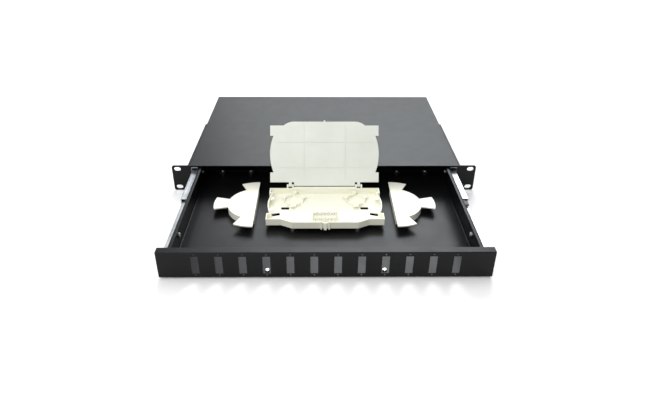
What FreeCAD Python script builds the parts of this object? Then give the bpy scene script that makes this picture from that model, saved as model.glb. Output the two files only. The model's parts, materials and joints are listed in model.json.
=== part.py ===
import FreeCAD, Part
import math
import os

from FreeCAD import Vector

# Fiber termination box for a 19 inch rack, one unit high, with its drawer pulled out and its
# splice tray open. Millimetres. X runs across the front, Y from the front to the back, Z up.
# Everything is drawn with z = 0 on the underside and y = 0 on the front of the rack ears, and
# save() lowers it by half the height, so the origin lies at the centre of the rack holes.

# Rack and housing
RACK_WIDTH = 482.6
UNIT_HEIGHT = 43.6
HOLE_SPACING_X = 465.1
HOLE_SPACING_Z = 31.75
SLOT_LENGTH = 10.5
SLOT_WIDTH = 7.0
HOUSING_WIDTH = 428.0
HOUSING_DEPTH = 308.0
SHEET = 1.0
FOLD_R = 1.5
REAR_FLANGE = 7.0
EAR_SHEET = 2.0
EAR_CORNER = 3.5
BRACKET_DEPTH = 166.0
COVER_BOTTOM = 0.6
COVER_BEND_R = 0.8
EAR_BEND_R = 1.5
BRACKET_SCREW_YS = (30.0, 85.0, 140.0)
REAR_SCREW_Y = 285.0
COVER_SCREW_XS = (-180.0, 0.0, 180.0)

# Screws: radii of the shank, of a tapped hole and of a clearance hole, then (radius, height) of heads
M4_R = 2.0
M4_TAPPED_R = 2.05
M4_CLEAR_R = 2.2
M3_R = 1.5
M3_TAPPED_R = 1.55
M3_CLEAR_R = 1.65
FORMING_R = 1.45
FORMED_R = 1.5
M4_HEAD = (3.7, 2.2)
M3_HEAD = (2.9, 2.1)
LOW_HEAD = (2.9, 1.5)

# Drawer
DRAWER_OUT = 226.7
DRAWER_DEPTH = 280.0
DRAWER_FLOOR = 3.9
WALL_TOP = 40.0
WALL_LIP = 5.5
REAR_UPSTAND = 9.0
CABLE_GAP = 60.0
CABLE_GAP_SILL = 3.0
DRAWER_SCREW_YS = (-160.0, 22.0)
PANEL_WIDTH = 422.4
PANEL_BOTTOM = 2.7
PANEL_TOP = 41.3
PANEL_SHEET = 1.2
TOP_RETURN = 11.0
BOTTOM_RETURN = 17.5
PANEL_BEND_R = 0.9
PANEL_SCREW_XS = (75.0, 188.0)
PANEL_SCREW_Y = -216.0

# Adapter windows
PORTS = 12
PORT_PITCH = 29.8
PORT_WIDTH = 9.6
PORT_HEIGHT = 26.0
PORT_SCREW_SPACING = 31.0
PORT_SCREW_R = 1.2

# Slides: u is the distance from the housing's wall inwards, w the height from the slide's middle
SLIDE_SPACE = 12.7
SLIDE_START = 3.0
OUTER_LENGTH = 300.0
MIDDLE_LENGTH = 270.0
MIDDLE_START = -87.0
INNER_START = -223.0
GAUGE = 1.2
OUTER_HALF = 17.5
MIDDLE_HALF = 13.1
INNER_HALF = 8.8
MIDDLE_WEB_U = 2.6
OUTER_LIP_U = 10.5
MIDDLE_LIP_U = 11.0
INNER_LIP_U = 5.2
LIP = 0.7
STOP_HALF = 6.0
STOP_U = 7.0
BUMPER_U = (1.6, 6.6)
BUMPER_HALF = 5.0
BUMPER_LENGTH = 3.0
MIDDLE_SLOTS = 4
MIDDLE_SLOT_START = 30.0
MIDDLE_SLOT_PITCH = 62.0
MIDDLE_SLOT_LENGTH = 22.0
MIDDLE_SLOT_HALF = 4.0
BALLS_IN_ROW = 7
BALL_PITCH = 9.0
CAGE_SHEET = 1.2
CAGE_HALF = 2.4
POCKET_GAP = 0.1
OUTER_BALL_R = 1.5
OUTER_BALL_U = 6.0
INNER_BALL_R = 1.45
INNER_BALL_U = 7.6
OUTER_CAGE_START = 60.0
INNER_CAGE_START = -30.0

# Release levers
LEVER_PIVOT_Y = -135.0
LEVER_TIP_Y = -90.0
LEVER_REACH = 11.0
LEVER_U = (6.0, 10.4)
LEVER_TIP_U = 4.6
LEVER_HUB_R = 4.0
LEVER_STEM = 7.0
LEVER_PAD_BACK = 11.0
LEVER_PAD_FRONT = 1.5
LEVER_PAD_SHEET = 1.6
LEVER_PAD_ROUND = 0.7
LEVER_WINDOW = (-107.0, -84.0)
LEVER_WINDOW_W = (4.0, 14.0)
RIVET_R = 1.5
RIVET_HEAD_R = 3.0
RIVET_HEAD_SHEET = 1.0
RUNNING_GAP = 0.05
# The arm's outline: distance from the pivot towards the tip, height above the slide's middle
LEVER_ARM = ((0.0, -3.0), (43.0, -2.0), (45.0, 0.0), (45.0, 4.0), (36.0, 4.0), (31.0, 2.0), (0.0, 3.0))

# Splice tray
HINGE_Y = -25.5
HINGE_Z = 21.8
LID_OPEN = 121.0
TRAY_BOTTOM = 10.4
TRAY_TOP = 20.8
TRAY_WALL = 1.5
TRAY_FLOOR = 1.6
TAB_X = 84.6
NOTCH_X = 79.5
BULGE_X = 84.8
REAR_TABS = (5.4, 20.8)
FRONT_TABS = (78.0, 94.0)
LID_LENGTH = 100.0
LID_SHEET = 1.5
LID_GAP = 0.1
TRAY_FRONT = 102.5
PIVOT_R = 1.2
KNUCKLE_R = 2.3
KNUCKLE_EARS = ((47.9, 50.4), (56.1, 58.6))
LID_ARM = (50.9, 55.6)
POST_X = 46.2
POST_YS = (-37.0, -121.0)
POST_R = 4.0
BOSS_R = 3.6
BOSS_HEIGHT = 5.0
BOSS_HOLE = 3.6
SCREW_REACH = 4.5
LID_FRONT_X = 63.5
LID_FRONT_STEP = 16.0
LID_CENTRE_X = 47.4
LID_RIB = 0.8
LID_RIB_DEPTH = 0.35
LID_RIB_XS = (-32.0, 32.0)
LID_RIB_TS = (28.4, 68.1)
LID_RIB_REACH_X = 76.0
LID_RIB_REACH_T = (9.0, 96.0)
LID_NIB_END = 102.1
LID_NIB_XS = (1.7, 1.2)
TRAY_STEP_XS = (63.0, 47.0)
STEP_SLANT = 0.4
EAR_FOOT = 4.3
EAR_WEB_RISE = 2.0
EAR_WEB_DROP = 0.4
LEDGE_SHEET = 1.4
LEDGE_DROP = 0.2
LEDGE_CLEAR = 0.6
TIE_SLOT = (12.0, 7.6)
TIE_SLOT_CORNER = 1.5
TIE_SLOTS = ((59.0, -76.2, 0.0), (72.0, -93.2, -17.0))
GUIDE_X = 47.0
GUIDE_Y = -57.0
GUIDE_R = 15.0
GUIDE_WALL = 1.4
GUIDE_HEIGHT = 4.0
GUIDE_GAP = 6.0
GUIDE_GAP_TURNS = (0, 120, 240)
GUIDE_TAB_R = (13.8, 20.5)
GUIDE_TAB_TURNS = (60, 180, 300)
GUIDE_TAB_WIDTH = 8.0
TAB_SHEET = 1.2
EDGE_TAB_X = 76.0
EDGE_TAB_YS = (-59.0, -91.0)
EDGE_TAB_DROP = 1.5
COMB_X = 18.0
COMB_YS = (-114.0, -91.0)
COMB_HEIGHT = 6.5
COMB_SLOTS = 9
COMB_SLOT_R = 1.3
COMB_SLOT_FLOOR = 3.0
COMB_TROUGH = (16.0, 3.0, 1.6)
# Side to side and up: left, right, foot and top of the tongue and of the right guard bar
LATCH_TONGUE = (-2.0, 2.0, 9.6, 19.8)
LATCH_BAR = (4.6, 6.6, 10.4, 22.2)
LATCH_ROOT = 0.5
LATCH_FOOT = 3.0
LATCH_HEAD = 0.8
LATCH_NOTCH_X = 4.5
LATCH_NOTCH_DROP = 0.9

# Fibre spools
SPOOL_X = 102.5
SPOOL_Y = -66.5
SPOOL_TOP = 15.6
SPOOL_SHEET = 1.8
DRUM_R = 42.7
SPOOL_TAB_R = 63.5
SPOOL_TABS = ((64.0, 90.0), (-15.0, 15.0), (-90.0, -64.0))
SPOOL_SCREW_X = 119.0
SPOOL_SCREW_YS = (-46.5, -86.5)
SPOOL_TAB_ROOT = 6.0
SPOOL_BOSS_R = 3.5
SPOOL_SCREW_REACH = 5.0

# Rear cable entries
ENTRY_Z = 21.8
ENTRY_R = 10.25
GLAND_X = 145.0
GROMMET_X = 95.0
GLAND_THREAD_R = 10.1
GLAND_THREAD = 11.0
GLAND_FLANGE = 24.0
GLAND_FLANGE_SHEET = 5.0
GLAND_COLLAR_R = 9.4
GLAND_COLLAR = 14.0
GLAND_BORE_R = 6.5
SEAL_ROOM_R = 7.6
SEAL_R = 7.5
CABLE_R = 5.0
NUT_FLATS = 26.0
NUT_HEIGHT = 5.0
NUT_BORE_R = 10.15
DOME_R = 12.0
DOME_START = 5.2
DOME_END = 19.0
DOME_ROUND = 3.0
DOME_BORE_R = 9.5
DOME_MOUTH_R = 6.4
DOME_WALL_START = 14.3
GRIPS = 12
GRIP_R = 0.9
GROMMET_FLANGE_R = 13.0
GROMMET_FLANGE_SHEET = 2.0
GROMMET_NECK_R = 10.15
GROMMET_RIM_R = 12.0
GROMMET_RIM = 2.5
GROMMET_HOLLOW_R = 8.5

# Strength member clamps
CLAMP_XS = (122.0, 169.0)
CLAMP_Y = 40.0
CLAMP_POST_FLATS = 6.0
CLAMP_POST_HEIGHT = 5.5
CLAMP_PLATE_HALF = 5.0
CLAMP_PLATE_SHEET = 1.0
CLAMP_PLATE_LIP = 2.2

# How far a cutting tool runs past the face that it opens
PAST = 1.0

INNER_WALL_X = HOUSING_WIDTH / 2 - 2 * SHEET
DRAWER_X = INNER_WALL_X - SLIDE_SPACE
DRAWER_REAR = DRAWER_DEPTH - DRAWER_OUT
PANEL_BACK = PANEL_SHEET - DRAWER_OUT
FLOOR_TOP = DRAWER_FLOOR + SHEET
SLIDE_Z = UNIT_HEIGHT / 2
PORT_Z = (PANEL_BOTTOM + PANEL_TOP) / 2
BASE_REAR = HOUSING_DEPTH - SHEET
X_AXIS = Vector(1, 0, 0)
Y_AXIS = Vector(0, 1, 0)
Z_AXIS = Vector(0, 0, 1)


def box(x0, x1, y0, y1, z0, z1):
    return Part.makeBox(x1 - x0, y1 - y0, z1 - z0, Vector(x0, y0, z0))


def rod(radius, start, end):
    """A cylinder from one point to another."""
    along = Vector(*end) - Vector(*start)
    return Part.makeCylinder(radius, along.Length, Vector(*start), along)


def hexagon(across_flats, start, end):
    """A hexagonal prism along Y or Z from one point to another."""
    start = Vector(*start)
    along = Vector(*end) - start
    side = X_AXIS
    up = along.cross(side).normalize()
    corner = across_flats / math.sqrt(3)
    ring = []
    for k in range(6):
        turn = math.radians(60 * k)
        ring.append(start + side * (corner * math.cos(turn)) + up * (corner * math.sin(turn)))
    face = Part.Face(Part.makePolygon(ring + ring[:1]))
    return face.extrude(along)


def slab(points, z0, z1):
    """A flat prism from an outline in X and Y."""
    ring = [Vector(x, y, z0) for x, y in points]
    return Part.Face(Part.makePolygon(ring + ring[:1])).extrude(Vector(0, 0, z1 - z0))


def join(shapes):
    whole = shapes[0].multiFuse(shapes[1:])
    return whole.removeSplitter()


def cut(shape, tools):
    return shape.cut(Part.makeCompound(tools)).removeSplitter()


def mirrored(shape):
    return shape.mirror(Vector(0, 0, 0), X_AXIS)


def both_sides(shapes):
    return shapes + [mirrored(s) for s in shapes]


def round_edges(shape, radius, wanted):
    """Rounds the edges for which wanted(edge) is true."""
    return shape.makeFillet(radius, [e for e in shape.Edges if wanted(e)])


def runs_along(edge, axis):
    if not isinstance(edge.Curve, Part.Line):
        return False
    return abs(abs(edge.tangentAt(edge.FirstParameter).dot(axis)) - 1) < 1e-6


def fold_at(z):
    """Picks the level edges of a housing's box at a height, apart from the one at its open front."""
    def wanted(edge):
        level = all(abs(corner.Z - z) < 1e-6 for corner in edge.Vertexes)
        return level and edge.CenterOfMass.y > SHEET

    return wanted


def save(name, shape):
    """Lowers a node into the rack frame and writes it, with a line that says what it is."""
    solids = shape.Solids
    if not solids:
        raise ValueError(name + " holds no solid")
    for solid in solids:
        if not solid.isValid() or solid.Volume <= 0:
            raise ValueError(name + " has a bad solid")
    out = solids[0] if len(solids) == 1 else Part.makeCompound(solids)
    out = out.copy()
    out.translate(Vector(0, 0, -UNIT_HEIGHT / 2))
    out.exportStep("parts/" + name + ".step")
    size = out.BoundBox
    print("%-24s %3d solid(s) %9.1f mm3  %.1f x %.1f x %.1f" % (
        name, len(solids), out.Volume, size.XLength, size.YLength, size.ZLength))


def pan_screw(radius, head, tip, seat):
    """A pan head screw from its tip to the seat of its head, with a crossed recess."""
    head_radius, head_height = head
    tip = Vector(*tip)
    seat = Vector(*seat)
    out = (seat - tip).normalize()
    shank = Part.makeCylinder(radius, (seat - tip).Length, tip, out)
    cap = Part.makeCylinder(head_radius, head_height, seat, out)
    crown = [e for e in cap.Edges if abs((e.CenterOfMass - seat).dot(out) - head_height) < 1e-6]
    cap = cap.makeFillet(head_height * 0.45, crown)
    side = out.cross(Z_AXIS if abs(out.z) < 0.5 else X_AXIS).normalize()
    depth = head_height * 0.55
    width = 0.8
    length = head_radius * 1.05
    slots = []
    for across in (side, out.cross(side)):
        bar = Part.makeBox(width, length, depth + PAST)
        bar.translate(Vector(-width / 2, -length / 2, 0))
        turn = FreeCAD.Rotation(across.cross(out) * -1, across, out, "ZXY")
        bar.Placement = FreeCAD.Placement(seat + out * (head_height - depth), turn).multiply(bar.Placement)
        slots.append(bar)
    return shank.fuse(cap.cut(Part.makeCompound(slots))).removeSplitter()


# ---------------------------------------------------------------- housing

COVER_SCREW_Z = UNIT_HEIGHT - REAR_FLANGE / 2


def rear_wall_hole(radius, x, z):
    """A tool that drills through the rear wall and the cover's rear flange."""
    return rod(radius, (x, BASE_REAR - 3, z), (x, BASE_REAR + 3, z))


def side_screw_holes(radius):
    """Holes through one side of the housing for the screws that hold the brackets and slides."""
    holes = []
    for y in BRACKET_SCREW_YS + (REAR_SCREW_Y,):
        holes.append(rod(radius, (INNER_WALL_X - 5, y, SLIDE_Z), (INNER_WALL_X + 8, y, SLIDE_Z)))
    return both_sides(holes)


def housing_base():
    """Floor, side walls and rear wall, folded from one sheet and open at the top and front."""
    x = HOUSING_WIDTH / 2 - SHEET
    top = UNIT_HEIGHT - SHEET
    outside = round_edges(box(-x, x, 0, BASE_REAR, 0, top), FOLD_R + SHEET, fold_at(0))
    inside = box(-x + SHEET, x - SHEET, -PAST, BASE_REAR - SHEET, SHEET, top + PAST)
    inside = round_edges(inside, FOLD_R, fold_at(SHEET))
    holes = side_screw_holes(M4_TAPPED_R)
    for entry_x in (GLAND_X, GROMMET_X):
        holes += both_sides([rear_wall_hole(ENTRY_R, entry_x, ENTRY_Z)])
    for screw_x in COVER_SCREW_XS:
        holes.append(rear_wall_hole(M3_TAPPED_R, screw_x, COVER_SCREW_Z))
    return cut(outside, [inside] + holes)


def top_cover():
    """Flat top with side walls over the base and a short rear flange."""
    x = HOUSING_WIDTH / 2
    outside = box(-x, x, 0, HOUSING_DEPTH, COVER_BOTTOM, UNIT_HEIGHT)
    outside = round_edges(outside, COVER_BEND_R, fold_at(UNIT_HEIGHT))
    inside = box(-x + SHEET, x - SHEET, -PAST, BASE_REAR, -PAST, UNIT_HEIGHT - SHEET)
    flange_bottom = UNIT_HEIGHT - REAR_FLANGE
    below_flange = box(-x - PAST, x + PAST, BASE_REAR, HOUSING_DEPTH + PAST, -PAST, flange_bottom)
    holes = side_screw_holes(M4_CLEAR_R)
    for screw_x in COVER_SCREW_XS:
        holes.append(rear_wall_hole(M3_CLEAR_R, screw_x, COVER_SCREW_Z))
    return cut(outside, [inside, below_flange] + holes)


def top_cover_screws():
    screws = []
    for x in COVER_SCREW_XS:
        tip = (x, BASE_REAR - 4, COVER_SCREW_Z)
        screws.append(pan_screw(M3_R, M3_HEAD, tip, (x, HOUSING_DEPTH, COVER_SCREW_Z)))
    return Part.makeCompound(screws)


def rack_slot(z):
    half = (SLOT_LENGTH - SLOT_WIDTH) / 2
    x = HOLE_SPACING_X / 2
    r = SLOT_WIDTH / 2
    return [
        box(x - half, x + half, -1, EAR_SHEET + 1, z - r, z + r),
        rod(r, (x - half, -1, z), (x - half, EAR_SHEET + 1, z)),
        rod(r, (x + half, -1, z), (x + half, EAR_SHEET + 1, z)),
    ]


def right_rack_bracket():
    """An ear with two slots in front, and a leg along the housing's side."""
    wall = HOUSING_WIDTH / 2
    ear = box(wall, RACK_WIDTH / 2, 0, EAR_SHEET, 0, UNIT_HEIGHT)
    ear = round_edges(ear, EAR_CORNER, lambda e: runs_along(e, Y_AXIS) and e.CenterOfMass.x > wall + 1)
    leg = box(wall, wall + EAR_SHEET, 0, BRACKET_DEPTH, 0, UNIT_HEIGHT)
    bend_x = wall + EAR_SHEET + EAR_BEND_R
    bend_y = EAR_SHEET + EAR_BEND_R
    fillet = box(bend_x - EAR_BEND_R, bend_x, EAR_SHEET, bend_y, 0, UNIT_HEIGHT)
    fillet = cut(fillet, [rod(EAR_BEND_R, (bend_x, bend_y, -PAST), (bend_x, bend_y, UNIT_HEIGHT + PAST))])
    bracket = join([ear, leg, fillet])
    tools = rack_slot(SLIDE_Z + HOLE_SPACING_Z / 2) + rack_slot(SLIDE_Z - HOLE_SPACING_Z / 2)
    for y in BRACKET_SCREW_YS:
        tools.append(rod(M4_CLEAR_R, (wall - 1, y, SLIDE_Z), (wall + 4, y, SLIDE_Z)))
    return cut(bracket, tools)


def side_screws(ys, seat_x):
    """M4 screws from outside, through the wall into the slide's outer member."""
    screws = []
    for y in ys:
        screws.append(pan_screw(M4_R, M4_HEAD, (INNER_WALL_X - 1.9, y, SLIDE_Z), (seat_x, y, SLIDE_Z)))
    return Part.makeCompound(both_sides(screws))


# ---------------------------------------------------------------- slides

def channel(points, y0, y1):
    """A rolled section, drawn on u and w for the right hand slide, run along Y."""
    ring = [Vector(INNER_WALL_X - u, y0, SLIDE_Z + w) for u, w in points]
    return Part.Face(Part.makePolygon(ring + ring[:1])).extrude(Vector(0, y1 - y0, 0))


def plate_section(us, ws, y0, y1):
    """A rectangular bar between two values of u and two of w, run along Y."""
    return channel([(us[0], ws[0]), (us[1], ws[0]), (us[1], ws[1]), (us[0], ws[1])], y0, y1)


def c_section(web_u, lip_u, half, y0, y1):
    """A C section with its web at web_u, and flanges that reach lip_u and turn in at their edges."""
    s = 1 if lip_u > web_u else -1
    web = web_u + s * GAUGE
    inner = half - GAUGE
    edge = lip_u - s * GAUGE
    points = [
        (web_u, -half), (lip_u, -half), (lip_u, -inner + LIP), (edge, -inner + LIP),
        (edge, -inner), (web, -inner), (web, inner), (edge, inner),
        (edge, inner - LIP), (lip_u, inner - LIP), (lip_u, half), (web_u, half),
    ]
    return channel(points, y0, y1)


def right_slide_outer():
    """The member fixed to the housing, with a stop bent in at its rear end."""
    rear = SLIDE_START + OUTER_LENGTH
    body = c_section(0, OUTER_LIP_U, OUTER_HALF, SLIDE_START, rear)
    stop = plate_section((GAUGE, STOP_U), (-STOP_HALF, STOP_HALF), rear - GAUGE, rear)
    holes = []
    for y in BRACKET_SCREW_YS + (REAR_SCREW_Y,):
        holes.append(rod(M4_TAPPED_R, (INNER_WALL_X - 2, y, SLIDE_Z), (INNER_WALL_X + 1, y, SLIDE_Z)))
    return cut(join([body, stop]), holes)


def right_slide_middle():
    """The member between the two ball races, with lightening slots in its web."""
    rear = MIDDLE_START + MIDDLE_LENGTH
    body = c_section(MIDDLE_WEB_U, MIDDLE_LIP_U, MIDDLE_HALF, MIDDLE_START, rear)
    slots = []
    web = (MIDDLE_WEB_U - 0.6, MIDDLE_WEB_U + GAUGE + 0.7)
    for k in range(MIDDLE_SLOTS):
        y = MIDDLE_START + MIDDLE_SLOT_START + MIDDLE_SLOT_PITCH * k
        slots.append(plate_section(web, (-MIDDLE_SLOT_HALF, MIDDLE_SLOT_HALF), y, y + MIDDLE_SLOT_LENGTH))
    return cut(body, slots)


def right_slide_inner():
    """The member fixed to the drawer, with a window in its upper flange for the release lever."""
    rear = INNER_START + DRAWER_DEPTH
    body = c_section(SLIDE_SPACE, INNER_LIP_U, INNER_HALF, INNER_START, rear)
    tools = [plate_section((0, SLIDE_SPACE - GAUGE - 0.4), LEVER_WINDOW_W, *LEVER_WINDOW)]
    for y in DRAWER_SCREW_YS:
        tools.append(rod(M4_TAPPED_R, (DRAWER_X - 1, y, SLIDE_Z), (DRAWER_X + 3, y, SLIDE_Z)))
    pivot = (DRAWER_X - 1, LEVER_PIVOT_Y, SLIDE_Z)
    tools.append(rod(RIVET_R, pivot, (DRAWER_X + 3, LEVER_PIVOT_Y, SLIDE_Z)))
    return cut(body, tools)


def ball_places(u, w, start):
    """Centres of the balls of one slide's race, in an upper and a lower row."""
    places = []
    for side in (1, -1):
        for k in range(BALLS_IN_ROW):
            y = start + BALL_PITCH * (k + 0.5)
            places.append(Vector(INNER_WALL_X - u, y, SLIDE_Z + side * w))
    return places


OUTER_RACE = (OUTER_BALL_U, (OUTER_HALF - GAUGE + MIDDLE_HALF) / 2, OUTER_CAGE_START, OUTER_BALL_R)
INNER_RACE = (INNER_BALL_U, (MIDDLE_HALF - GAUGE + INNER_HALF) / 2, INNER_CAGE_START, INNER_BALL_R)


def right_balls(race):
    u, w, start, radius = race
    return Part.makeCompound([Part.makeSphere(radius, place) for place in ball_places(u, w, start)])


def right_ball_cage(race):
    """Two flat strips, above and below, each with a pocket for every ball."""
    u, w, start, radius = race
    pockets = []
    for place in ball_places(u, w, start):
        up = Vector(0, 0, 2)
        pockets.append(Part.makeCylinder(radius + POCKET_GAP, 2 * up.z, place - up, Z_AXIS))
    strips = []
    for side in (1, -1):
        mid = side * w
        half = CAGE_SHEET / 2
        end = start + BALL_PITCH * BALLS_IN_ROW
        strip = plate_section((u - CAGE_HALF, u + CAGE_HALF), (mid - half, mid + half), start, end)
        strips.append(cut(strip, pockets))
    return Part.makeCompound(strips)


def slide_bumpers():
    """Rubber pads on the rear stops."""
    y1 = SLIDE_START + OUTER_LENGTH - GAUGE
    pad = plate_section(BUMPER_U, (-BUMPER_HALF, BUMPER_HALF), y1 - BUMPER_LENGTH, y1)
    return Part.makeCompound(both_sides([pad]))


# ---------------------------------------------------------------- release levers

def right_release_lever():
    """A plastic lever on a rivet in the inner member. Its tip stands up through the flange."""
    u0, u1 = LEVER_U
    x0 = INNER_WALL_X - u1
    x1 = INNER_WALL_X - u0
    z = SLIDE_Z
    tip_x = INNER_WALL_X - LEVER_TIP_U
    top = z + LEVER_REACH
    hub = rod(LEVER_HUB_R, (x0, LEVER_PIVOT_Y, z), (x1, LEVER_PIVOT_Y, z))
    ring = [Vector(x0, LEVER_PIVOT_Y + along, z + height) for along, height in LEVER_ARM]
    arm = Part.Face(Part.makePolygon(ring + ring[:1])).extrude(Vector(x1 - x0, 0, 0))
    tip = box(x0, tip_x, LEVER_TIP_Y - LEVER_STEM, LEVER_TIP_Y, z + 3, top)
    pad_y0 = LEVER_TIP_Y - LEVER_PAD_BACK
    pad_y1 = LEVER_TIP_Y + LEVER_PAD_FRONT
    pad = box(x0, tip_x, pad_y0, pad_y1, top - LEVER_PAD_SHEET, top)
    pad = round_edges(pad, LEVER_PAD_ROUND, lambda e: runs_along(e, X_AXIS) and e.CenterOfMass.z > top - 0.1)
    body = join([hub, arm, tip, pad])
    bore = rod(RIVET_R + RUNNING_GAP, (x0 - 1, LEVER_PIVOT_Y, z), (x1 + 1, LEVER_PIVOT_Y, z))
    return cut(body, [bore])


def turned_over(shape):
    """The left hand slide is the right hand one turned half round about Y through its middle."""
    out = shape.copy()
    out.rotate(Vector(0, 0, SLIDE_Z), Y_AXIS, 180)
    return out


def lever_rivets():
    x0 = DRAWER_X
    x1 = INNER_WALL_X - LEVER_U[0] + 0.1
    z = SLIDE_Z
    rivet = join([
        rod(RIVET_R, (x0, LEVER_PIVOT_Y, z), (x1 + 0.2, LEVER_PIVOT_Y, z)),
        rod(RIVET_HEAD_R, (x1, LEVER_PIVOT_Y, z), (x1 + RIVET_HEAD_SHEET, LEVER_PIVOT_Y, z)),
    ])
    return Part.makeCompound([rivet, turned_over(rivet)])


# ---------------------------------------------------------------- drawer

def floor_screw_places():
    """Where screws pass through the drawer's floor: panel, splice tray, spools and clamps."""
    places = [(x, PANEL_SCREW_Y) for x in PANEL_SCREW_XS]
    places += [(POST_X, y) for y in POST_YS]
    places += [(SPOOL_SCREW_X, y) for y in SPOOL_SCREW_YS]
    places += [(x, CLAMP_Y) for x in CLAMP_XS]
    return places


def drawer_tray():
    """Floor, side walls with lips folded in, and a low upstand at the rear with two cable gaps."""
    x = DRAWER_X
    start = PANEL_BACK - PAST
    end = DRAWER_REAR + PAST
    outside = box(-x, x, PANEL_BACK, DRAWER_REAR, DRAWER_FLOOR, WALL_TOP)
    outside = round_edges(outside, FOLD_R + SHEET, lambda e: runs_along(e, Y_AXIS))
    room = box(-x + SHEET, x - SHEET, start, end, FLOOR_TOP, WALL_TOP - SHEET)
    room = round_edges(room, FOLD_R, lambda e: runs_along(e, Y_AXIS))
    mouth = box(-x + WALL_LIP, x - WALL_LIP, start, end, FLOOR_TOP, WALL_TOP + PAST)
    tray = cut(outside, [room, mouth])
    upstand_top = FLOOR_TOP + REAR_UPSTAND
    upstand = box(-x + SHEET, x - SHEET, DRAWER_REAR - SHEET, DRAWER_REAR, FLOOR_TOP, upstand_top)
    mid = (CLAMP_XS[0] + CLAMP_XS[1]) / 2
    gap = box(mid - CABLE_GAP / 2, mid + CABLE_GAP / 2, DRAWER_REAR - 3, DRAWER_REAR + PAST,
              FLOOR_TOP + CABLE_GAP_SILL, UNIT_HEIGHT)
    tray = join([tray, cut(upstand, both_sides([gap]))])
    holes = []
    for hole_x, hole_y in floor_screw_places():
        below = (hole_x, hole_y, DRAWER_FLOOR - PAST)
        holes.append(rod(M3_CLEAR_R, below, (hole_x, hole_y, FLOOR_TOP + PAST)))
    for y in DRAWER_SCREW_YS:
        holes.append(rod(M4_CLEAR_R, (x - 3, y, SLIDE_Z), (x + 2, y, SLIDE_Z)))
    return cut(tray, both_sides(holes))


def port_xs():
    first = -PORT_PITCH * (PORTS - 1) / 2
    return [first + PORT_PITCH * k for k in range(PORTS)]


def front_panel():
    """A channel on its side: face, top return and bottom return, with twelve adapter windows."""
    half = PANEL_WIDTH / 2
    front = -DRAWER_OUT
    face = box(-half, half, front, PANEL_BACK, PANEL_BOTTOM, PANEL_TOP)
    top = box(-half, half, front, front + TOP_RETURN, PANEL_TOP - PANEL_SHEET, PANEL_TOP)
    bottom = box(-half, half, front, front + BOTTOM_RETURN, PANEL_BOTTOM, PANEL_BOTTOM + PANEL_SHEET)
    panel = join([face, top, bottom])
    mid_face = (front + PANEL_BACK) / 2
    panel = round_edges(panel, PANEL_BEND_R, lambda e: runs_along(e, X_AXIS) and e.CenterOfMass.y < mid_face)
    tools = []
    for x in port_xs():
        tools.append(box(x - PORT_WIDTH / 2, x + PORT_WIDTH / 2, front - 1, PANEL_BACK + 1,
                         PORT_Z - PORT_HEIGHT / 2, PORT_Z + PORT_HEIGHT / 2))
        for side in (1, -1):
            z = PORT_Z + side * PORT_SCREW_SPACING / 2
            tools.append(rod(PORT_SCREW_R, (x, front - 1, z), (x, PANEL_BACK + 1, z)))
    for x in PANEL_SCREW_XS:
        above = (x, PANEL_SCREW_Y, DRAWER_FLOOR + PAST)
        tools += both_sides([rod(M3_TAPPED_R, (x, PANEL_SCREW_Y, 0), above)])
    return cut(panel, tools)


def front_panel_screws():
    screws = []
    for x in PANEL_SCREW_XS:
        tip = (x, PANEL_SCREW_Y, PANEL_BOTTOM - 0.6)
        screws.append(pan_screw(M3_R, M3_HEAD, tip, (x, PANEL_SCREW_Y, FLOOR_TOP)))
    return Part.makeCompound(both_sides(screws))


def drawer_slide_screws():
    """M4 screws from inside the drawer into the inner members."""
    screws = []
    for y in DRAWER_SCREW_YS:
        screws.append(pan_screw(M4_R, M4_HEAD, (DRAWER_X + 2.1, y, SLIDE_Z), (DRAWER_X - SHEET, y, SLIDE_Z)))
    return Part.makeCompound(both_sides(screws))


def clamp_standoffs():
    posts = []
    for x in CLAMP_XS:
        top = FLOOR_TOP + CLAMP_POST_HEIGHT
        post = hexagon(CLAMP_POST_FLATS, (x, CLAMP_Y, FLOOR_TOP), (x, CLAMP_Y, top))
        posts.append(cut(post, [rod(M3_TAPPED_R, (x, CLAMP_Y, FLOOR_TOP - PAST), (x, CLAMP_Y, top + PAST))]))
    return Part.makeCompound(both_sides(posts))


def clamp_plates():
    """Square clamp washers with their front and rear edges turned up."""
    plates = []
    z = FLOOR_TOP + CLAMP_POST_HEIGHT
    half = CLAMP_PLATE_HALF
    sheet = CLAMP_PLATE_SHEET
    for x in CLAMP_XS:
        plate = join([
            box(x - half, x + half, CLAMP_Y - half, CLAMP_Y + half, z, z + sheet),
            box(x - half, x + half, CLAMP_Y - half, CLAMP_Y - half + sheet, z, z + CLAMP_PLATE_LIP),
            box(x - half, x + half, CLAMP_Y + half - sheet, CLAMP_Y + half, z, z + CLAMP_PLATE_LIP),
        ])
        plates.append(cut(plate, [rod(M3_CLEAR_R, (x, CLAMP_Y, z - PAST), (x, CLAMP_Y, z + sheet + PAST))]))
    return Part.makeCompound(both_sides(plates))


def clamp_screws():
    seat = FLOOR_TOP + CLAMP_POST_HEIGHT + CLAMP_PLATE_SHEET
    screws = [pan_screw(M3_R, M3_HEAD, (x, CLAMP_Y, DRAWER_FLOOR), (x, CLAMP_Y, seat)) for x in CLAMP_XS]
    return Part.makeCompound(both_sides(screws))


# ---------------------------------------------------------------- splice tray

def tray_y(t):
    """t is the distance in front of the hinge line."""
    return HINGE_Y - t


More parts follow.
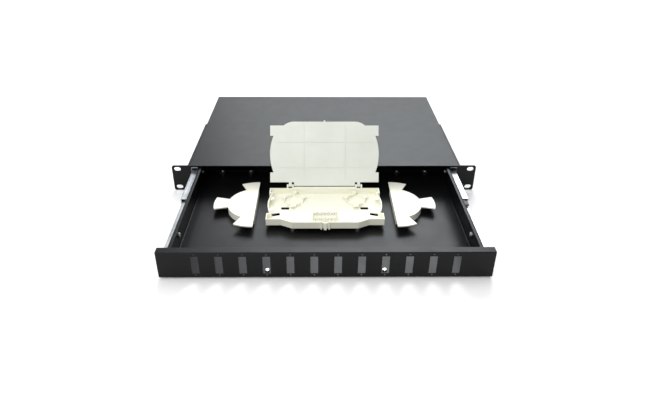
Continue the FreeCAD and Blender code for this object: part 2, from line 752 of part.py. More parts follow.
def half_outline(rear_t, front, grow):
    """Right half of the outline that the tray and its lid share, as stops from the rear to the front.

    A stop is one point that a straight edge runs to, or two points, the middle and end of an arc.
    grow moves the outline outwards, or inwards where it is negative.
    """
    rear0, rear1 = REAR_TABS
    front0, front1 = FRONT_TABS
    tab = TAB_X + grow
    notch = NOTCH_X + grow
    bulge = [(BULGE_X + grow, (rear1 + front0) / 2), (notch, front0 - grow)]
    stops = [[(0, rear_t)], [(tab, rear0 - grow)], [(tab, rear1 + grow)], [(notch, rear1 + grow)], bulge]
    return stops + [[(tab, front0 - grow)], [(tab, front1 + grow)]] + front


def outline_slab(rear_t, front, z0, z1, grow=0.0):
    edges = []
    stops = half_outline(rear_t, front, grow)
    here = stops[0][0]
    for stop in stops[1:] + stops[:1]:
        path = [Vector(x, tray_y(t), z0) for x, t in [here] + stop]
        if path[0] != path[-1]:
            edges.append(Part.Arc(*path).toShape() if len(path) == 3 else Part.LineSegment(*path).toShape())
        here = stop[-1]
    half = Part.Face(Part.Wire(edges)).extrude(Vector(0, 0, z1 - z0))
    return join([half, mirrored(half)])


def tray_front(grow=0.0):
    """The front wall steps forward in the middle."""
    step, middle = TRAY_STEP_XS
    return [
        [(step, FRONT_TABS[1] + grow)],
        [(middle + grow * STEP_SLANT, TRAY_FRONT + grow)],
        [(0, TRAY_FRONT + grow)],
    ]


def lid_front():
    """The lid's corners are arcs that run smoothly into its front edge."""
    rise = LID_LENGTH - FRONT_TABS[1]
    radius = (LID_FRONT_STEP ** 2 + rise ** 2) / (2 * rise)
    half_turn = math.asin(LID_FRONT_STEP / radius) / 2
    end_x = LID_FRONT_X - LID_FRONT_STEP
    middle = (end_x + radius * math.sin(half_turn), LID_LENGTH - radius * (1 - math.cos(half_turn)))
    return [[(LID_FRONT_X, FRONT_TABS[1])], [middle, (end_x, LID_LENGTH)], [(0, LID_LENGTH)]]


def tray_slots():
    """Cable tie slots through the tray's floor, with rounded corners."""
    slots = []
    half_length, half_width = TIE_SLOT[0] / 2, TIE_SLOT[1] / 2
    for x, y, turn in TIE_SLOTS:
        slot = box(-half_length, half_length, -half_width, half_width,
                   TRAY_BOTTOM - PAST, TRAY_BOTTOM + TRAY_FLOOR + PAST)
        slot = round_edges(slot, TIE_SLOT_CORNER, lambda e: runs_along(e, Z_AXIS))
        slot.rotate(Vector(0, 0, 0), Z_AXIS, turn)
        slot.translate(Vector(x, y, 0))
        slots.append(slot)
    return both_sides(slots)


def around_guide(shape, x, turn):
    """Turns a shape drawn ahead of the origin about a winding guide's centre."""
    shape.rotate(Vector(0, 0, 0), Z_AXIS, turn)
    shape.translate(Vector(x, GUIDE_Y, 0))
    return shape


def winding_guides():
    """Low curved walls that fibre is wound around, two rings of three arcs, with small tabs."""
    z0 = TRAY_BOTTOM + TRAY_FLOOR
    z1 = z0 + GUIDE_HEIGHT
    tab_in, tab_out = GUIDE_TAB_R
    half_gap = GUIDE_GAP / 2
    half_tab = GUIDE_TAB_WIDTH / 2
    pieces = []
    for x in (-GUIDE_X, GUIDE_X):
        ring = rod(GUIDE_R, (x, GUIDE_Y, z0), (x, GUIDE_Y, z1))
        ring = cut(ring, [rod(GUIDE_R - GUIDE_WALL, (x, GUIDE_Y, z0 - PAST), (x, GUIDE_Y, z1 + PAST))])
        gaps = []
        for turn in GUIDE_GAP_TURNS:
            gap = box(-half_gap, half_gap, GUIDE_R / 2, GUIDE_R + PAST, z0 - PAST, z1 + PAST)
            gaps.append(around_guide(gap, x, turn))
        pieces += cut(ring, gaps).Solids
        for turn in GUIDE_TAB_TURNS:
            tab = box(-half_tab, half_tab, tab_in, tab_out, z1 - TAB_SHEET, z1)
            pieces.append(around_guide(tab, x, turn))
    return pieces


def edge_tabs():
    """Small tabs that stand in from the side walls and hold the fibre down."""
    z1 = TRAY_TOP - EDGE_TAB_DROP
    half = GUIDE_TAB_WIDTH / 2
    tabs = []
    for y in EDGE_TAB_YS:
        tabs.append(box(EDGE_TAB_X, NOTCH_X + 2.0, y - half, y + half, z1 - TAB_SHEET, z1))
    return both_sides(tabs)


def tray_knuckles():
    """Ears behind the tray's rear wall, bored for the lid's pivots, and a ledge between them."""
    ears = []
    wall_y = tray_y(REAR_TABS[0])
    for x0, x1 in KNUCKLE_EARS:
        ears.append(rod(KNUCKLE_R, (x0, HINGE_Y, HINGE_Z), (x1, HINGE_Y, HINGE_Z)))
        ears.append(box(x0, x1, tray_y(EAR_FOOT), HINGE_Y, HINGE_Z - KNUCKLE_R, HINGE_Z + KNUCKLE_R / 2))
        web = [
            Vector(x0, wall_y, TRAY_BOTTOM + EAR_WEB_RISE), Vector(x0, HINGE_Y + KNUCKLE_R, HINGE_Z),
            Vector(x0, HINGE_Y, HINGE_Z), Vector(x0, wall_y, TRAY_TOP - EAR_WEB_DROP),
        ]
        ears.append(Part.Face(Part.makePolygon(web + web[:1])).extrude(Vector(x1 - x0, 0, 0)))
    ledge_x = KNUCKLE_EARS[0][0] + LEDGE_SHEET / 2
    ledge_top = TRAY_TOP - LEDGE_DROP
    ledge = box(-ledge_x, ledge_x, wall_y - LEDGE_SHEET / 2, tray_y(LEDGE_CLEAR),
                ledge_top - LEDGE_SHEET, ledge_top)
    return both_sides(ears) + [ledge]


def latch_bars():
    """A tongue between two guard bars on the front wall, where the lid's nib drops in.

    Each leans forward towards its foot.
    """
    wall_y = tray_y(TRAY_FRONT)
    bars = []
    for x0, x1, foot_z, top_z in (LATCH_TONGUE, LATCH_BAR, (-LATCH_BAR[1], -LATCH_BAR[0]) + LATCH_BAR[2:]):
        side = [
            Vector(x0, wall_y + LATCH_ROOT, foot_z), Vector(x0, wall_y - LATCH_FOOT, foot_z),
            Vector(x0, wall_y - LATCH_HEAD, top_z), Vector(x0, wall_y + LATCH_ROOT, top_z),
        ]
        bars.append(Part.Face(Part.makePolygon(side + side[:1])).extrude(Vector(x1 - x0, 0, 0)))
    return bars


def splice_tray_base():
    floor_z = TRAY_BOTTOM + TRAY_FLOOR
    outside = outline_slab(REAR_TABS[0], tray_front(), TRAY_BOTTOM, TRAY_TOP)
    inside = outline_slab(REAR_TABS[0] + TRAY_WALL, tray_front(-TRAY_WALL), floor_z, TRAY_TOP + 1, -TRAY_WALL)
    notch = box(-LATCH_NOTCH_X, LATCH_NOTCH_X, tray_y(TRAY_FRONT + PAST), tray_y(TRAY_FRONT - 2 * TRAY_WALL),
                TRAY_TOP - LATCH_NOTCH_DROP, TRAY_TOP + PAST)
    shell = cut(outside, [inside, notch])
    bosses = []
    for y in POST_YS:
        bosses += both_sides([rod(BOSS_R, (POST_X, y, floor_z - 0.5), (POST_X, y, floor_z + BOSS_HEIGHT))])
    extras = winding_guides() + edge_tabs() + tray_knuckles() + latch_bars() + bosses
    body = join([shell] + extras)
    tools = tray_slots()
    for y in POST_YS:
        below = (POST_X, y, TRAY_BOTTOM - PAST)
        tools += both_sides([rod(FORMED_R, below, (POST_X, y, floor_z + BOSS_HOLE))])
    bore_r = PIVOT_R + RUNNING_GAP
    ear0 = KNUCKLE_EARS[0][0]
    ear1 = KNUCKLE_EARS[1][1]
    tools += both_sides([rod(bore_r, (ear0 - 1, HINGE_Y, HINGE_Z), (ear1 + 1, HINGE_Y, HINGE_Z))])
    return cut(body, tools)


def splice_tray_standoffs():
    posts = []
    for y in POST_YS:
        post = rod(POST_R, (POST_X, y, FLOOR_TOP), (POST_X, y, TRAY_BOTTOM))
        hole = rod(M3_CLEAR_R, (POST_X, y, FLOOR_TOP - PAST), (POST_X, y, TRAY_BOTTOM + PAST))
        posts.append(cut(post, [hole]))
    return Part.makeCompound(both_sides(posts))


def screws_from_below(places, tip_z):
    """Low headed, thread forming screws up through the drawer's floor."""
    screws = [pan_screw(FORMING_R, LOW_HEAD, (x, y, tip_z), (x, y, DRAWER_FLOOR)) for x, y in places]
    return Part.makeCompound(both_sides(screws))


def splice_holder():
    """A comb of slots for splice sleeves, stood on the tray's floor behind the latch."""
    z0 = TRAY_BOTTOM + TRAY_FLOOR
    y0, y1 = COMB_YS
    top = z0 + COMB_HEIGHT
    slot_z = z0 + COMB_SLOT_FLOOR
    comb = box(-COMB_X, COMB_X, y0, y1, z0, top)
    slots = []
    pitch = 2 * COMB_X / COMB_SLOTS
    for k in range(COMB_SLOTS):
        x = -COMB_X + pitch * (k + 0.5)
        slots.append(box(x - COMB_SLOT_R, x + COMB_SLOT_R, y0 - PAST, y1 + PAST, slot_z, top + PAST))
        slots.append(rod(COMB_SLOT_R, (x, y0 - PAST, slot_z), (x, y1 + PAST, slot_z)))
    half_length, half_width, floor = COMB_TROUGH
    mid = (y0 + y1) / 2
    slots.append(box(-half_length, half_length, mid - half_width, mid + half_width, z0 + floor, top + PAST))
    return cut(comb, slots)


def splice_tray_lid():
    """Drawn shut, on the tray's top edge, then turned open about its pivots."""
    z0 = TRAY_TOP + LID_GAP
    z1 = z0 + LID_SHEET
    plate = outline_slab(REAR_TABS[0], lid_front(), z0, z1)
    centre = box(-LID_CENTRE_X, LID_CENTRE_X, tray_y(REAR_TABS[0] + 1), tray_y(-0.3), z0, z1)
    nib_root = tray_y(LID_LENGTH - 1)
    nib_end = tray_y(LID_NIB_END)
    root_x, end_x = LID_NIB_XS
    nib = slab([(-root_x, nib_root), (-end_x, nib_end), (end_x, nib_end), (root_x, nib_root)], z0, z1)
    pieces = [plate, centre, nib]
    arm0, arm1 = LID_ARM
    ear0 = KNUCKLE_EARS[0][0]
    ear1 = KNUCKLE_EARS[1][1]
    arms = [
        box(arm0, arm1, tray_y(REAR_TABS[0] + 1), HINGE_Y, z0, z1),
        rod(KNUCKLE_R, (arm0, HINGE_Y, HINGE_Z), (arm1, HINGE_Y, HINGE_Z)),
        rod(PIVOT_R, (ear0, HINGE_Y, HINGE_Z), (ear1, HINGE_Y, HINGE_Z)),
    ]
    pieces += both_sides(arms)
    rib_z = z0 - LID_RIB_DEPTH
    half = LID_RIB / 2
    near, far = LID_RIB_REACH_T
    side = LID_RIB_REACH_X
    for x in LID_RIB_XS:
        pieces.append(box(x - half, x + half, tray_y(far), tray_y(near), rib_z, z0 + half))
    for t in LID_RIB_TS:
        pieces.append(box(-side, side, tray_y(t + half), tray_y(t - half), rib_z, z0 + half))
    lid = join(pieces)
    lid.rotate(Vector(0, HINGE_Y, HINGE_Z), X_AXIS, -LID_OPEN)
    return lid


# ---------------------------------------------------------------- fibre spools

def sector(radius_in, radius_out, start, end, z0, z1):
    """A sector of a ring about the spool's centre, angles from +X in degrees."""
    centre = Vector(SPOOL_X, SPOOL_Y, z0)

    def at(radius, angle):
        a = math.radians(angle)
        return centre + Vector(radius * math.cos(a), radius * math.sin(a), 0)

    mid = (start + end) / 2
    wire = Part.Wire([
        Part.Arc(at(radius_out, start), at(radius_out, mid), at(radius_out, end)).toShape(),
        Part.LineSegment(at(radius_out, end), at(radius_in, end)).toShape(),
        Part.Arc(at(radius_in, end), at(radius_in, mid), at(radius_in, start)).toShape(),
        Part.LineSegment(at(radius_in, start), at(radius_out, start)).toShape(),
    ])
    return Part.Face(wire).extrude(Vector(0, 0, z1 - z0))


def half_disc(radius, x_in, z0, z1):
    disc = rod(radius, (SPOOL_X, SPOOL_Y, z0), (SPOOL_X, SPOOL_Y, z1))
    reach = radius + PAST
    return disc.common(box(x_in, SPOOL_X + reach, SPOOL_Y - reach, SPOOL_Y + reach, z0 - PAST, z1 + PAST))


def right_fiber_spool():
    """A D-shaped drum, hollow underneath, with three tabs around its top."""
    plate_z = SPOOL_TOP - SPOOL_SHEET
    drum = half_disc(DRUM_R, SPOOL_X, FLOOR_TOP, SPOOL_TOP)
    tabs = [sector(DRUM_R - SPOOL_TAB_ROOT, SPOOL_TAB_R, a, b, plate_z, SPOOL_TOP) for a, b in SPOOL_TABS]
    body = join([drum] + tabs)
    hollow = half_disc(DRUM_R - SPOOL_SHEET, SPOOL_X + SPOOL_SHEET, FLOOR_TOP - 1, plate_z)
    bosses = []
    holes = []
    for y in SPOOL_SCREW_YS:
        bosses.append(rod(SPOOL_BOSS_R, (SPOOL_SCREW_X, y, FLOOR_TOP), (SPOOL_SCREW_X, y, plate_z + 0.2)))
        holes.append(rod(FORMED_R, (SPOOL_SCREW_X, y, FLOOR_TOP - PAST), (SPOOL_SCREW_X, y, plate_z - 1)))
    body = cut(body, [hollow])
    return cut(join([body] + bosses), holes)


# ---------------------------------------------------------------- rear cable entries

def gland_parts():
    """Body, locknut, seal and dome nut of one cable gland, on the rear wall at the right."""

    def along(radius, start, end):
        """A cylinder on the entry's axis, its ends measured backwards from the rear wall."""
        return rod(radius, (GLAND_X, BASE_REAR + start, ENTRY_Z), (GLAND_X, BASE_REAR + end, ENTRY_Z))

    flange_end = (GLAND_X, BASE_REAR + GLAND_FLANGE_SHEET, ENTRY_Z)
    flange = hexagon(GLAND_FLANGE, (GLAND_X, BASE_REAR, ENTRY_Z), flange_end)
    body = join([
        along(GLAND_THREAD_R, -GLAND_THREAD, 2),
        flange,
        along(GLAND_COLLAR_R, GLAND_FLANGE_SHEET - 1, GLAND_COLLAR),
    ])
    body = cut(body, [
        along(GLAND_BORE_R, -GLAND_THREAD - PAST, GLAND_FLANGE_SHEET),
        along(SEAL_ROOM_R, GLAND_FLANGE_SHEET, GLAND_COLLAR + PAST),
    ])
    nut_end = BASE_REAR - SHEET
    nut = hexagon(NUT_FLATS, (GLAND_X, nut_end - NUT_HEIGHT, ENTRY_Z), (GLAND_X, nut_end, ENTRY_Z))
    nut = cut(nut, [along(NUT_BORE_R, -GLAND_THREAD - PAST, PAST)])
    seal = along(SEAL_R, GLAND_FLANGE_SHEET, GLAND_COLLAR)
    seal = cut(seal, [along(CABLE_R, GLAND_FLANGE_SHEET - PAST, GLAND_COLLAR + PAST)])
    dome = along(DOME_R, DOME_START, DOME_END)
    crown = BASE_REAR + DOME_END
    dome = dome.makeFillet(DOME_ROUND, [e for e in dome.Edges if abs(e.CenterOfMass.y - crown) < 1e-6])
    grips = []
    for k in range(GRIPS):
        angle = 2 * math.pi * k / GRIPS
        x = GLAND_X + (DOME_R + 0.2) * math.cos(angle)
        z = ENTRY_Z + (DOME_R + 0.2) * math.sin(angle)
        grips.append(rod(GRIP_R, (x, BASE_REAR + GLAND_FLANGE_SHEET, z), (x, BASE_REAR + GLAND_COLLAR, z)))
    room = along(DOME_BORE_R, GLAND_FLANGE_SHEET, DOME_WALL_START)
    mouth = along(DOME_MOUTH_R, GLAND_COLLAR, DOME_END + PAST)
    return {
        "cable_gland_bodies": body,
        "cable_gland_locknuts": nut,
        "cable_gland_seals": seal,
        "cable_gland_domes": cut(dome, grips + [room, mouth]),
    }


def blanking_grommets():
    """Rubber plugs that close the two entries without a gland."""

    def along(radius, start, end):
        return rod(radius, (GROMMET_X, BASE_REAR + start, ENTRY_Z), (GROMMET_X, BASE_REAR + end, ENTRY_Z))

    inside = -SHEET - GROMMET_RIM
    plug = join([
        along(GROMMET_FLANGE_R, 0, GROMMET_FLANGE_SHEET),
        along(GROMMET_NECK_R, -SHEET - 0.1, 0.1),
        along(GROMMET_RIM_R, inside, -SHEET),
    ])
    plug = cut(plug, [along(GROMMET_HOLLOW_R, inside - 0.5, 0.6)])
    return Part.makeCompound(both_sides([plug]))


# ---------------------------------------------------------------- all nodes

def main():
    os.makedirs("parts", exist_ok=True)
    save("housing_base", housing_base())
    save("top_cover", top_cover())
    save("top_cover_screws", top_cover_screws())
    bracket = right_rack_bracket()
    save("right_rack_bracket", bracket)
    save("left_rack_bracket", mirrored(bracket))
    wall = HOUSING_WIDTH / 2
    save("bracket_screws", side_screws(BRACKET_SCREW_YS, wall + EAR_SHEET))
    save("slide_rear_screws", side_screws((REAR_SCREW_Y,), wall))
    slide_pieces = {
        "slide_outer": right_slide_outer(),
        "slide_middle": right_slide_middle(),
        "slide_inner": right_slide_inner(),
        "outer_balls": right_balls(OUTER_RACE),
        "outer_ball_cage": right_ball_cage(OUTER_RACE),
        "inner_balls": right_balls(INNER_RACE),
        "inner_ball_cage": right_ball_cage(INNER_RACE),
        "release_lever": right_release_lever(),
    }
    for name, shape in slide_pieces.items():
        save("right_" + name, shape)
        save("left_" + name, turned_over(shape))
    save("slide_bumpers", slide_bumpers())
    save("lever_rivets", lever_rivets())
    save("drawer_tray", drawer_tray())
    save("front_panel", front_panel())
    save("front_panel_screws", front_panel_screws())
    save("drawer_slide_screws", drawer_slide_screws())
    save("clamp_standoffs", clamp_standoffs())
    save("clamp_plates", clamp_plates())
    save("clamp_screws", clamp_screws())
    save("splice_tray_base", splice_tray_base())
    save("splice_tray_standoffs", splice_tray_standoffs())
    tray_screws = [(POST_X, y) for y in POST_YS]
    save("splice_tray_screws", screws_from_below(tray_screws, TRAY_BOTTOM + SCREW_REACH))
    save("splice_holder", splice_holder())
    save("splice_tray_lid", splice_tray_lid())
    spool = right_fiber_spool()
    save("right_fiber_spool", spool)
    save("left_fiber_spool", mirrored(spool))
    spool_screws = [(SPOOL_SCREW_X, y) for y in SPOOL_SCREW_YS]
    save("fiber_spool_screws", screws_from_below(spool_screws, FLOOR_TOP + SPOOL_SCREW_REACH))
    for name, shape in gland_parts().items():
        save(name, Part.makeCompound(both_sides([shape])))
    save("blanking_grommets", blanking_grommets())


main()
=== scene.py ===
import json
import math

import bmesh
import bpy
from mathutils import Matrix, Vector


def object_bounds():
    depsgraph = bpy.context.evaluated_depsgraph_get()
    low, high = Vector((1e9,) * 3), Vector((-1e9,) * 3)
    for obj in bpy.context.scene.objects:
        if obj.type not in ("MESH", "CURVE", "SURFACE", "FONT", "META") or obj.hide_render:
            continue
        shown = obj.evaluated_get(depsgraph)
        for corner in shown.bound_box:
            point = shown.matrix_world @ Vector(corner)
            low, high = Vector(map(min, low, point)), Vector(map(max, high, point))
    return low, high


# The looks of a one unit fiber termination box, drawer out and splice tray open. Metres.

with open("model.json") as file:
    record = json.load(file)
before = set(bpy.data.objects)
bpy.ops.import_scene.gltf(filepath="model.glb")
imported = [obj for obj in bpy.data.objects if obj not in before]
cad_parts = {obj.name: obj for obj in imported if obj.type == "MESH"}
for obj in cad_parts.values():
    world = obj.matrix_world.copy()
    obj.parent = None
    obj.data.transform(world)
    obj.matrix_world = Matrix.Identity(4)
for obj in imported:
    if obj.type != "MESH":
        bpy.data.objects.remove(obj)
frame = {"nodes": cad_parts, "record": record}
cad_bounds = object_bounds()
MM = 0.001


# ---------------------------------------------------------------- camera

CAMERA_PLACE = Vector((-10.42, -774.22, 424.25)) * MM
PITCH_DOWN = math.radians(31.02)
YAW_RIGHT = math.radians(0.87)
ROLL = math.radians(0.39)
LENS_MM = 30.49
SENSOR_MM = 36.0
NEAREST = 0.01
FARTHEST = 50.0


def make_camera():
    data = bpy.data.cameras.new("camera")
    data.sensor_fit = "HORIZONTAL"
    data.sensor_width = SENSOR_MM
    data.lens = LENS_MM
    data.clip_start = NEAREST
    data.clip_end = FARTHEST
    forward = Vector((
        math.sin(YAW_RIGHT) * math.cos(PITCH_DOWN),
        math.cos(YAW_RIGHT) * math.cos(PITCH_DOWN),
        -math.sin(PITCH_DOWN),
    ))
    level_right = Vector((math.cos(YAW_RIGHT), -math.sin(YAW_RIGHT), 0.0))
    level_up = level_right.cross(forward)
    right = level_right * math.cos(ROLL) + level_up * math.sin(ROLL)
    up = level_up * math.cos(ROLL) - level_right * math.sin(ROLL)
    turn = Matrix((right, up, -forward)).transposed()
    camera = bpy.data.objects.new("camera", data)
    camera.matrix_world = Matrix.Translation(CAMERA_PLACE) @ turn.to_4x4()
    bpy.context.scene.collection.objects.link(camera)
    bpy.context.scene.camera = camera


BEVEL_SAMPLES = 6
# Most of a noise texture's values lie between the first two, and its middle ones between the others.
MOSTLY = {"start": 0.3, "end": 0.7}
MIDDLE = {"start": 0.35, "end": 0.65}
# Wear follows the dot product of the rounded and the flat normal: it begins and is full this far under 1.
WEAR_BEGINS = 0.02
WEAR_IS_FULL = 0.12


class Recipe:
    """A procedural material, built node by node around one Principled shader."""

    def __init__(self, name, metallic=0.0):
        self.material = bpy.data.materials.new(name)
        self.material.use_nodes = True
        self.tree = self.material.node_tree
        self.shader = self.tree.nodes["Principled BSDF"]
        self.place = self.node("ShaderNodeTexCoord").outputs["Object"]
        self.normal = None
        self.set(Metallic=metallic)

    def node(self, kind, **values):
        made = self.tree.nodes.new(kind)
        for key, value in values.items():
            setattr(made, key, value)
        return made

    def feed(self, socket, value):
        """Gives a socket another node's output, a color of three numbers, or a plain value."""
        if isinstance(value, bpy.types.NodeSocket):
            self.tree.links.new(value, socket)
        elif socket.type == "RGBA":
            socket.default_value = (*value, 1.0)
        else:
            socket.default_value = value

    def set(self, **values):
        """Feeds the shader's sockets, whose names are written with _ for a space."""
        for key, value in values.items():
            self.feed(self.shader.inputs[key.replace("_", " ")], value)

    def stretched(self, scale):
        """Object coordinates, stretched along an axis."""
        mapping = self.node("ShaderNodeMapping")
        self.feed(mapping.inputs["Scale"], scale)
        self.feed(mapping.inputs["Vector"], self.place)
        return mapping.outputs["Vector"]

    def noise(self, scale, detail=3.0, roughness=0.55, where=None):
        made = self.node("ShaderNodeTexNoise")
        self.feed(made.inputs["Scale"], scale)
        self.feed(made.inputs["Detail"], detail)
        self.feed(made.inputs["Roughness"], roughness)
        self.feed(made.inputs["Vector"], where or self.place)
        return made.outputs["Fac"]

    def cells(self, scale):
        made = self.node("ShaderNodeTexVoronoi")
        self.feed(made.inputs["Scale"], scale)
        self.feed(made.inputs["Vector"], self.place)
        return made.outputs["Distance"]

    def spread(self, value, low, high, start=0.0, end=1.0):
        """Maps a value between start and end onto low to high."""
        made = self.node("ShaderNodeMapRange")
        self.feed(made.inputs["From Min"], start)
        self.feed(made.inputs["From Max"], end)
        self.feed(made.inputs["To Min"], low)
        self.feed(made.inputs["To Max"], high)
        self.feed(made.inputs["Value"], value)
        return made.outputs["Result"]

    def colors(self, value, first, second):
        """Turns from the first color to the second over the middle of a noise."""
        ramp = self.node("ShaderNodeValToRGB")
        stops = ramp.color_ramp.elements
        stops[0].position = MIDDLE["start"]
        stops[0].color = (*first, 1.0)
        stops[1].position = MIDDLE["end"]
        stops[1].color = (*second, 1.0)
        self.feed(ramp.inputs["Fac"], value)
        return ramp.outputs["Color"]

    def mix(self, mask, first, second):
        made = self.node("ShaderNodeMix", data_type="RGBA")
        self.feed(made.inputs["Factor"], mask)
        self.feed(made.inputs["A"], first)
        self.feed(made.inputs["B"], second)
        return made.outputs["Result"]

    def product(self, first, second):
        made = self.node("ShaderNodeMath", operation="MULTIPLY")
        self.feed(made.inputs[0], first)
        self.feed(made.inputs[1], second)
        return made.outputs[0]

    def rounded_normal(self, radius):
        soft = self.node("ShaderNodeBevel", samples=BEVEL_SAMPLES)
        self.feed(soft.inputs["Radius"], radius)
        return soft.outputs["Normal"]

    def edge_mask(self, radius):
        """Near 1 within radius of a sharp edge, and 0 on the flats."""
        dot = self.node("ShaderNodeVectorMath", operation="DOT_PRODUCT")
        self.feed(dot.inputs[0], self.rounded_normal(radius))
        self.feed(dot.inputs[1], self.node("ShaderNodeNewGeometry").outputs["Normal"])
        return self.spread(dot.outputs["Value"], 1.0, 0.0, 1.0 - WEAR_IS_FULL, 1.0 - WEAR_BEGINS)

    def round_edges(self, radius):
        self.normal = self.rounded_normal(radius)
        self.set(Normal=self.normal)

    def bump(self, height, distance, strength):
        made = self.node("ShaderNodeBump")
        self.feed(made.inputs["Strength"], strength)
        self.feed(made.inputs["Distance"], distance)
        self.feed(made.inputs["Height"], height)
        if self.normal is not None:
            self.feed(made.inputs["Normal"], self.normal)
        self.normal = made.outputs["Normal"]
        self.set(Normal=self.normal)


# ---------------------------------------------------------------- materials

def black_powder_coat():
    """Fine textured powder coat: an orange peel, a finer grain on it, and paler worn edges."""
    r = Recipe("black_powder_coat")
    tone = r.colors(r.noise(14.0, detail=4.0), (0.0032, 0.0034, 0.0038), (0.0046, 0.0049, 0.0054))
    speckle = r.spread(r.noise(900.0, detail=2.0), 0.0, 1.0, start=0.42, end=0.62)
    worn = r.product(r.edge_mask(0.35 * MM), speckle)
    r.set(Base_Color=r.mix(worn, tone, (0.035, 0.035, 0.037)), Specular_IOR_Level=0.17)
    r.set(Roughness=r.spread(r.noise(45.0, detail=5.0), 0.36, 0.41, **MOSTLY))
    r.round_edges(0.3 * MM)
    r.bump(r.noise(420.0, detail=2.0, roughness=0.5), distance=0.03 * MM, strength=0.4)
    r.bump(r.noise(1700.0, detail=3.0, roughness=0.6), distance=0.02 * MM, strength=0.5)
    return r.material


def black_screws():
    """Black oxide steel, with a trace of oil and scuffed rims."""
    r = Recipe("black_screws", metallic=0.5)
    r.set(Base_Color=r.mix(r.edge_mask(0.2 * MM), (0.018, 0.018, 0.02), (0.11, 0.11, 0.115)))
    r.set(Roughness=r.spread(r.noise(300.0, detail=4.0), 0.26, 0.44))
    r.round_edges(0.15 * MM)
    r.bump(r.noise(1500.0, detail=2.0), distance=0.02 * MM, strength=0.5)
    return r.material


def zinc_slides():
    """Rolled steel with bright zinc: faint lines along the rolling direction and cloudy patches."""
    r = Recipe("zinc_slides", metallic=1.0)
    clouds = r.noise(70.0, detail=4.0)
    lines = r.noise(1.0, detail=4.0, roughness=0.6, where=r.stretched((1400.0, 9.0, 1400.0)))
    r.set(Base_Color=r.colors(clouds, (0.3, 0.312, 0.325), (0.41, 0.422, 0.435)))
    r.set(Roughness=r.spread(lines, 0.28, 0.46, **MOSTLY), Anisotropic=0.4)
    r.round_edges(0.2 * MM)
    r.bump(lines, distance=0.02 * MM, strength=0.35)
    return r.material


def steel_balls():
    """Polished bearing steel with a film of grease."""
    r = Recipe("steel_balls", metallic=1.0)
    r.set(Base_Color=(0.72, 0.72, 0.73), Coat_Weight=0.3, Coat_Roughness=0.2)
    r.set(Roughness=r.spread(r.noise(800.0), 0.05, 0.18))
    return r.material


def ball_cages():
    """Blanked strip with a dull zinc skin."""
    r = Recipe("ball_cages", metallic=1.0)
    clouds = r.noise(160.0, detail=4.0)
    r.set(Base_Color=r.colors(clouds, (0.38, 0.38, 0.385), (0.54, 0.54, 0.55)), Roughness=0.4)
    r.round_edges(0.12 * MM)
    r.bump(r.noise(1300.0, detail=2.0), distance=0.02 * MM, strength=0.4)
    return r.material


def zinc_screws():
    """Zinc with a faint yellow passivation that varies over each part."""
    r = Recipe("zinc_screws", metallic=1.0)
    r.set(Base_Color=r.colors(r.noise(240.0), (0.72, 0.69, 0.6), (0.8, 0.79, 0.76)))
    r.set(Roughness=r.spread(r.noise(900.0), 0.2, 0.38))
    r.round_edges(0.15 * MM)
    return r.material


def moulded(name, first, second, roughness, grain, soft=0.0):
    """A satin moulding: a slow drift of tone, flow lines and a spark eroded grain."""
    r = Recipe(name)
    r.set(Base_Color=r.colors(r.noise(22.0), first, second))
    sheen = r.noise(60.0, detail=4.0)
    r.set(Roughness=r.spread(sheen, roughness - 0.05, roughness + 0.07, **MOSTLY))
    if soft:
        r.set(Subsurface_Weight=soft, Subsurface_Scale=1.2 * MM, Subsurface_Radius=(1.0, 0.9, 0.7))
    r.round_edges(0.3 * MM)
    flow = r.noise(9.0, detail=2.0, roughness=0.5, where=r.stretched((2.0, 14.0, 2.0)))
    r.bump(flow, distance=0.05 * MM, strength=0.25)
    r.bump(r.noise(grain, detail=2.0, roughness=0.6), distance=0.02 * MM, strength=0.35)
    return r.material


def black_rubber():
    """Black rubber with a dusty bloom."""
    r = Recipe("black_rubber")
    bloom = r.noise(120.0, detail=5.0)
    r.set(Base_Color=r.colors(bloom, (0.014, 0.014, 0.014), (0.035, 0.034, 0.033)), Roughness=0.78)
    r.round_edges(0.3 * MM)
    r.bump(r.cells(1100.0), distance=0.04 * MM, strength=0.4)
    return r.material


# The finish of each material slot in the record.
MATERIALS = {
    "black_powder_coat": black_powder_coat(),
    "black_screws": black_screws(),
    "zinc_slides": zinc_slides(),
    "steel_balls": steel_balls(),
    "ball_cages": ball_cages(),
    "zinc_screws": zinc_screws(),
    "white_abs": moulded("white_abs", (0.87, 0.865, 0.74), (0.89, 0.885, 0.78), 0.4, 1500.0, 0.12),
    "lid_abs": moulded("lid_abs", (0.68, 0.71, 0.64), (0.72, 0.745, 0.68), 0.42, 1500.0, 0.1),
    "cream_comb": moulded("cream_comb", (0.77, 0.755, 0.64), (0.81, 0.795, 0.69), 0.44, 1300.0, 0.15),
    "black_plastic": moulded("black_plastic", (0.02, 0.02, 0.021), (0.03, 0.03, 0.031), 0.46, 1000.0),
    "black_rubber": black_rubber(),
}

# The splice tray is a little yellower than the spools, which have the same plastic.
TRAY_FINISH = moulded("tray_abs", (0.86, 0.855, 0.71), (0.88, 0.875, 0.75), 0.4, 1500.0, 0.12)


def dress_frame():
    """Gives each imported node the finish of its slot."""
    for part in frame["record"]["subparts"]:
        slot = part["material_slot"]
        piece = frame["nodes"][part["node"]]
        piece.data.materials.clear()
        piece.data.materials.append(TRAY_FINISH if part["node"] == "splice_tray_base" else MATERIALS[slot])


# ---------------------------------------------------------------- studio

FLOOR_REACH = 6.0
WALL_HEIGHT = 6.0
BEND_START_Y = 2.5
BEND_RADIUS = 1.5
BEND_STEPS = 16
FLOOR_COLOR = (0.93, 0.93, 0.93)
SKY_STRENGTH = 0.42
WHITE = (1.0, 1.0, 1.0)
COOL_WHITE = (0.92, 0.97, 1.0)
ORIGIN = (0.0, 0.0, 0.0)
COVER = (0.0, 0.1, 0.0)
DRAWER = (0.0, -0.1, 0.0)


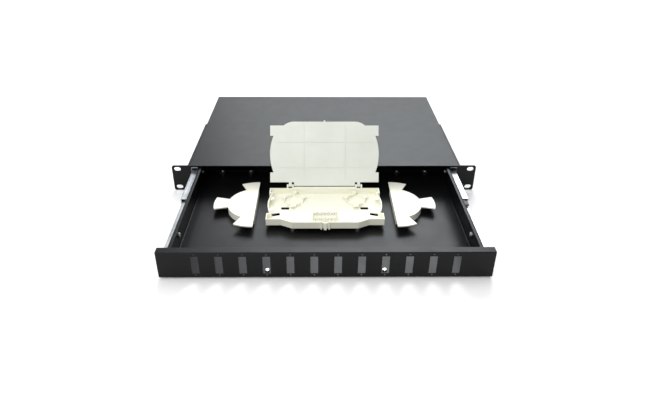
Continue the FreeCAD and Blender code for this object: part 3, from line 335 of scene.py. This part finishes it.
def floor_profile():
    """The floor's section across X: level, then curving up into a wall far behind the box."""
    profile = [(-FLOOR_REACH, 0.0), (BEND_START_Y, 0.0)]
    for step in range(1, BEND_STEPS + 1):
        angle = math.pi / 2 * step / BEND_STEPS
        y = BEND_START_Y + BEND_RADIUS * math.sin(angle)
        profile.append((y, BEND_RADIUS * (1 - math.cos(angle))))
    profile.append((BEND_START_Y + BEND_RADIUS, WALL_HEIGHT))
    return profile


def studio_paper():
    r = Recipe("studio_paper")
    r.set(Base_Color=FLOOR_COLOR, Roughness=0.8, Specular_IOR_Level=0.1)
    r.bump(r.noise(60.0), distance=0.2 * MM, strength=0.1)
    return r.material


def make_floor():
    lowest = cad_bounds[0][2]
    sheet = bmesh.new()
    rows = []
    for y, z in floor_profile():
        rows.append([sheet.verts.new((x, y, lowest + z)) for x in (-FLOOR_REACH, FLOOR_REACH)])
    for low, high in zip(rows, rows[1:]):
        sheet.faces.new((low[0], low[1], high[1], high[0]))
    mesh = bpy.data.meshes.new("studio_floor")
    sheet.to_mesh(mesh)
    sheet.free()
    for face in mesh.polygons:
        face.use_smooth = True
    mesh.materials.append(studio_paper())
    floor = bpy.data.objects.new("studio_floor", mesh)
    bpy.context.scene.collection.objects.link(floor)


def make_sky():
    world = bpy.data.worlds.new("studio")
    world.use_nodes = True
    sky = world.node_tree.nodes["Background"]
    sky.inputs["Color"].default_value = (*WHITE, 1.0)
    sky.inputs["Strength"].default_value = SKY_STRENGTH
    bpy.context.scene.world = world


def soft_light(name, place, target, size, watts, color):
    data = bpy.data.lights.new(name, "AREA")
    data.shape = "RECTANGLE"
    data.size, data.size_y = size
    data.energy = watts
    data.color = color
    light = bpy.data.objects.new(name, data)
    light.location = place
    light.rotation_euler = (Vector(target) - Vector(place)).to_track_quat("-Z", "Y").to_euler()
    light.visible_camera = False
    bpy.context.scene.collection.objects.link(light)


def make_studio():
    make_floor()
    make_sky()
    bpy.context.scene.view_settings.view_transform = "Standard"
    soft_light("rear_high", (0.25, 2.05, 1.75), COVER, (1.8, 1.3), 42.0, COOL_WHITE)
    soft_light("rear_low", (0.3, 2.4, 0.95), COVER, (2.1, 0.8), 9.5, COOL_WHITE)
    soft_light("rear_right", (0.4, 2.0, 1.65), ORIGIN, (1.0, 0.5), 9.0, COOL_WHITE)
    soft_light("front", (-0.5, -1.6, 1.5), DRAWER, (1.4, 1.0), 24.0, WHITE)
    soft_light("left", (-1.7, -0.2, 1.3), DRAWER, (1.2, 1.0), 8.0, WHITE)
    soft_light("over", (0.1, 0.5, 1.95), ORIGIN, (2.0, 1.4), 12.0, WHITE)


make_camera()
dress_frame()
make_studio()
